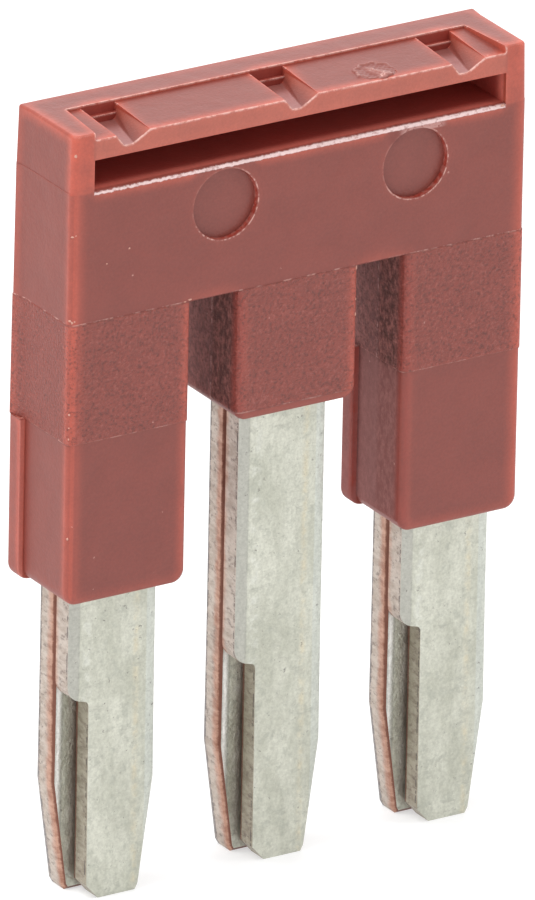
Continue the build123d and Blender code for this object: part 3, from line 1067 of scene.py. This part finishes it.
def flake_mesh():
    """All flakes of flash in one mesh: small balls with jittered points."""
    chance = random.Random(FLAKE_SEED)
    bm = bmesh.new()
    for x, y, z, half_x, half_y, half_z in FLAKES:
        ball = bmesh.ops.create_icosphere(bm, subdivisions=2, radius=1.0)["verts"]
        for vert in ball:
            vert.co *= chance.uniform(0.7, 1.1)
            vert.co = (x + half_x * vert.co.x, y + half_y * vert.co.y, z + half_z * vert.co.z)
    for face in bm.faces:
        face.smooth = True
    bmesh.ops.scale(bm, verts=bm.verts[:], vec=(MM, MM, MM))
    return finished_mesh(bm, "flash_flakes")


pale_look = {"Base Color": PALE_NYLON, "Roughness": 0.4}
pale_nylon = start_material("pale_polyamide", pale_look)[0]
flakes = flake_mesh()
flakes.materials.append(pale_nylon)
add_piece("flash_flakes", flakes, "moulding")

# %% [markdown]
# ## Contact combs
# Both combs are the same stamping: a web and three prongs. The outline is drawn once as a flat
# face, its corners are rounded with a vertex bevel, and it is extruded by the sheet's thickness.
# A punch drags the edge of the sheet down as it enters. That die roll is made with a row of
# insets on the outer face, each a little further back than the one inside it. The edge of the
# inner face is cut off at a slant, and the tips stand a little apart.

# %% Sizes of the combs, in millimetres
POLES = 3
comb_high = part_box("front_contact_comb")[1]
TIP_SPREAD = 0.05
SHEET = 0.78
WEB_TOP = 1000 * comb_high.z
WEB_BOTTOM = 17.5
PRONG_HALF = 1000 * comb_high.x - PITCH
SHOULDER_RISE = 5.75
SHOULDER_FALL = 0.18
SHOULDER_RADIUS = 0.36
CUTOUT_WIDTH = 0.66
CUTOUT_RADIUS = 0.12
TAPER_RISE = 3.2
TAPER_INSET = 0.43
TIP_CORNER_RISE = 0.16
TIP_CORNER_INSET = 0.09
HEEL_RISE = 0.42
HEEL_INSET = 0.36
SPREAD_RISE = 6.6
SPREAD_CUTS = 13
ROLL_WIDTH = 0.32
ROLL_DROP = 0.06
ROLL_STEPS = 4
INSET_MERGE = 0.02
SAME_PLANE = 0.001
GROOVE = 0.1
ROUND_STEPS = 6
# Faces whose normal lies closer to the Y axis than this are plated, and the others are cut edges.
PLATED_NORMAL = 0.85
print("sheet in mm:", SHEET, "prong width in mm:", round(2 * PRONG_HALF, 3))


# %% Comb outline
def comb_outline():
    """Corners of the comb as (x, z, rounding), anticlockwise seen from the front."""
    corners = [(-PITCH - PRONG_HALF, WEB_TOP, 0)]
    for pole in range(POLES):
        x = PITCH * (pole - (POLES - 1) / 2)
        left = x - PRONG_HALF
        right = x + PRONG_HALF
        cut = left + CUTOUT_WIDTH
        if pole > 0:
            corners.append((left, WEB_BOTTOM, 0))
        corners += [
            (left, SHOULDER_RISE + SHOULDER_FALL, SHOULDER_RADIUS),
            (cut, SHOULDER_RISE, CUTOUT_RADIUS),
            (cut, HEEL_RISE, 0),
            (cut + HEEL_INSET, 0, 0),
            (right - TAPER_INSET - TIP_CORNER_INSET, 0, 0),
            (right - TAPER_INSET, TIP_CORNER_RISE, 0),
            (right, TAPER_RISE, 0),
        ]
        if pole < POLES - 1:
            corners.append((right, WEB_BOTTOM, 0))
    corners.append((PITCH + PRONG_HALF, WEB_TOP, 0))
    return corners


def flat_comb(bm):
    """One flat face in the joint plane with the comb's outline, its shoulders rounded."""
    corners = comb_outline()
    verts = [bm.verts.new((x, 0, z)) for x, z, radius in corners]
    bm.faces.new(verts)
    rounded = [(vert, radius) for vert, (x, z, radius) in zip(verts, corners) if radius]
    shape = {"segments": ROUND_STEPS, "profile": 0.5, "affect": "VERTICES", "material": -1}
    for vert, radius in rounded:
        bmesh.ops.bevel(bm, geom=[vert], offset=radius, offset_type="OFFSET", **shape)
    bm.normal_update()
    return bm.faces[:][0]  # the outline is the only face


def flat_front(bm):
    """The large outer face of the sheet, found by where it lies."""
    lowest = min(face.calc_center_median().y for face in bm.faces)
    front = [face for face in bm.faces if face.calc_center_median().y < lowest + SAME_PLANE]
    return max(front, key=lambda face: face.calc_area())


def spread(z):
    """How far a sheet stands off the joint plane at a height above the tip."""
    return TIP_SPREAD * max(0.0, 1 - z / SPREAD_RISE)


# %% Steps of the stamping
def grow_sheet(bm):
    """Sheet grown to the front from the flat outline; its front face is returned."""
    face = flat_comb(bm)
    if face.normal.y < 0:
        face.normal_flip()
    grown = bmesh.ops.extrude_face_region(bm, geom=[face])["geom"]
    outer = [item for item in grown if isinstance(item, bmesh.types.BMFace)][0]
    bmesh.ops.translate(bm, verts=outer.verts[:], vec=(0, -(SHEET - ROLL_DROP), 0))
    bm.normal_update()
    if outer.normal.y > 0:
        outer.normal_flip()
    bmesh.ops.recalc_face_normals(bm, faces=bm.faces[:])
    return outer


def roll_outer_edge(bm, outer):
    """Die roll: insets of the front face, each further forward than the one outside it."""
    for count in range(1, ROLL_STEPS + 1):
        step = ROLL_WIDTH / ROLL_STEPS
        bmesh.ops.inset_region(bm, faces=[outer], thickness=step, use_even_offset=True)
        bmesh.ops.remove_doubles(bm, verts=outer.verts[:], dist=INSET_MERGE)
        outer = flat_front(bm)
        drop_before = ROLL_DROP * (1 - (count - 1) / ROLL_STEPS) ** 2
        drop_after = ROLL_DROP * (1 - count / ROLL_STEPS) ** 2
        bmesh.ops.translate(bm, verts=outer.verts[:], vec=(0, drop_after - drop_before, 0))


def cut_inner_edge(bm):
    """Slanted edge of the joint face: the points outside its inset move off the joint."""
    face = max(bm.faces, key=lambda item: item.calc_center_median().y)
    bmesh.ops.inset_region(bm, faces=[face], thickness=GROOVE, use_even_offset=True)
    neighbours = {other for edge in face.edges for other in edge.link_faces if other is not face}
    ring = {vert for other in neighbours for vert in other.verts}
    rim = [vert for vert in ring if vert not in set(face.verts)]
    bmesh.ops.translate(bm, verts=rim, vec=(0, -GROOVE, 0))


def spread_tips(bm):
    """Sheet cut at even heights, so that its points can bend away from the joint near the tips."""
    for cut in range(1, SPREAD_CUTS + 1):
        height = SPREAD_RISE * cut / SPREAD_CUTS
        geom = bm.verts[:] + bm.edges[:] + bm.faces[:]
        bmesh.ops.bisect_plane(bm, geom=geom, plane_co=(0, 0, height), plane_no=(0, 0, 1))
    for vert in bm.verts:
        vert.co.y -= spread(vert.co.z)


# %% Both combs
def comb_mesh(name, turned):
    """Stamped comb with die roll, slanted inner edge and spread tips, turned round or not."""
    bm = bmesh.new()
    roll_outer_edge(bm, grow_sheet(bm))
    cut_inner_edge(bm)
    spread_tips(bm)
    if turned:
        half_turn = Matrix.Rotation(math.pi, 3, "Z")
        bmesh.ops.rotate(bm, verts=bm.verts[:], cent=(0, 0, 0), matrix=half_turn)
    bmesh.ops.scale(bm, verts=bm.verts[:], vec=(MM, MM, MM))
    bm.normal_update()
    for face in bm.faces:
        face.material_index = 1 if abs(face.normal.y) < PLATED_NORMAL else 0
    smooth_between_sharp_edges(bm)
    return finished_mesh(bm, name)


for name, node, turned in (
    ("front_comb_plated", "front_contact_comb", False),
    ("rear_comb_plated", "rear_contact_comb", True),
):
    mesh = comb_mesh(name, turned)
    mesh.materials.append(tin_plate)
    mesh.materials.append(sheared_edge)
    add_piece(name, mesh, "contact_metal", node)

# %% [markdown]
# ## Studio
# The part stands on its prong tips on a pale light table under a bright white dome. The table
# glows a little, so the shadows on it stay faint and the front of the part mirrors white.
# A wide box low at the back lays a pale sheen on the top, one overhead lights it, and a stronger
# one hangs up at the front right. Only the rounded lip of the slot and the sharp edges mirror
# that one into the camera, which draws thin light lines there; painted highlights strengthen them.

# %% Light table and dome
TABLE_SIZE = 3.0
TABLE_GREY = (0.5, 0.5, 0.5, 1)
TABLE_GLOW = 0.55
WHITE = (1, 1, 1, 1)
DOME_STRENGTH = 0.86

bm = bmesh.new()
bmesh.ops.create_grid(bm, x_segments=1, y_segments=1, size=TABLE_SIZE)
floor_mesh = finished_mesh(bm, "floor")
floor = add_object("floor", floor_mesh)
table_look = {
    "Base Color": TABLE_GREY,
    "Roughness": 0.9,
    "Emission Color": WHITE,
    "Emission Strength": TABLE_GLOW,
}
floor_mesh.materials.append(start_material("pale_paper", table_look)[0])

world = bpy.data.worlds.new("white_dome")
bpy.context.scene.world = world
world.use_nodes = True
background = world.node_tree.nodes["Background"]
background.inputs["Color"].default_value = WHITE
background.inputs["Strength"].default_value = DOME_STRENGTH

# %% Soft boxes
LIGHT_DISTANCE = 0.4
# Each soft box: direction from the part, width as a share of the distance, radiance.
SOFT_BOXES = {
    "overhead_box": (Vector((-0.42, 0.10, 0.90)), 0.45, 9.5),
    "edge_box": (Vector((0.48, -0.36, 0.80)), 0.14, 16.0),
    "back_box": (Vector((0.48, 0.79, 0.38)), 0.80, 1.1),
}

for name, (direction, width, radiance) in SOFT_BOXES.items():
    size = width * LIGHT_DISTANCE
    box_data = bpy.data.lights.new(name, "AREA")
    box_data.size = size
    box_data.energy = radiance * math.pi * size * size
    place = CAMERA_AIM + direction.normalized() * LIGHT_DISTANCE
    facing = direction.to_track_quat("Z", "Y").to_matrix().to_4x4()
    add_object(name, box_data).matrix_world = Matrix.Translation(place) @ facing
    print(name, "power in watts:", round(box_data.energy, 3))

bpy.context.scene.view_settings.view_transform = "Standard"
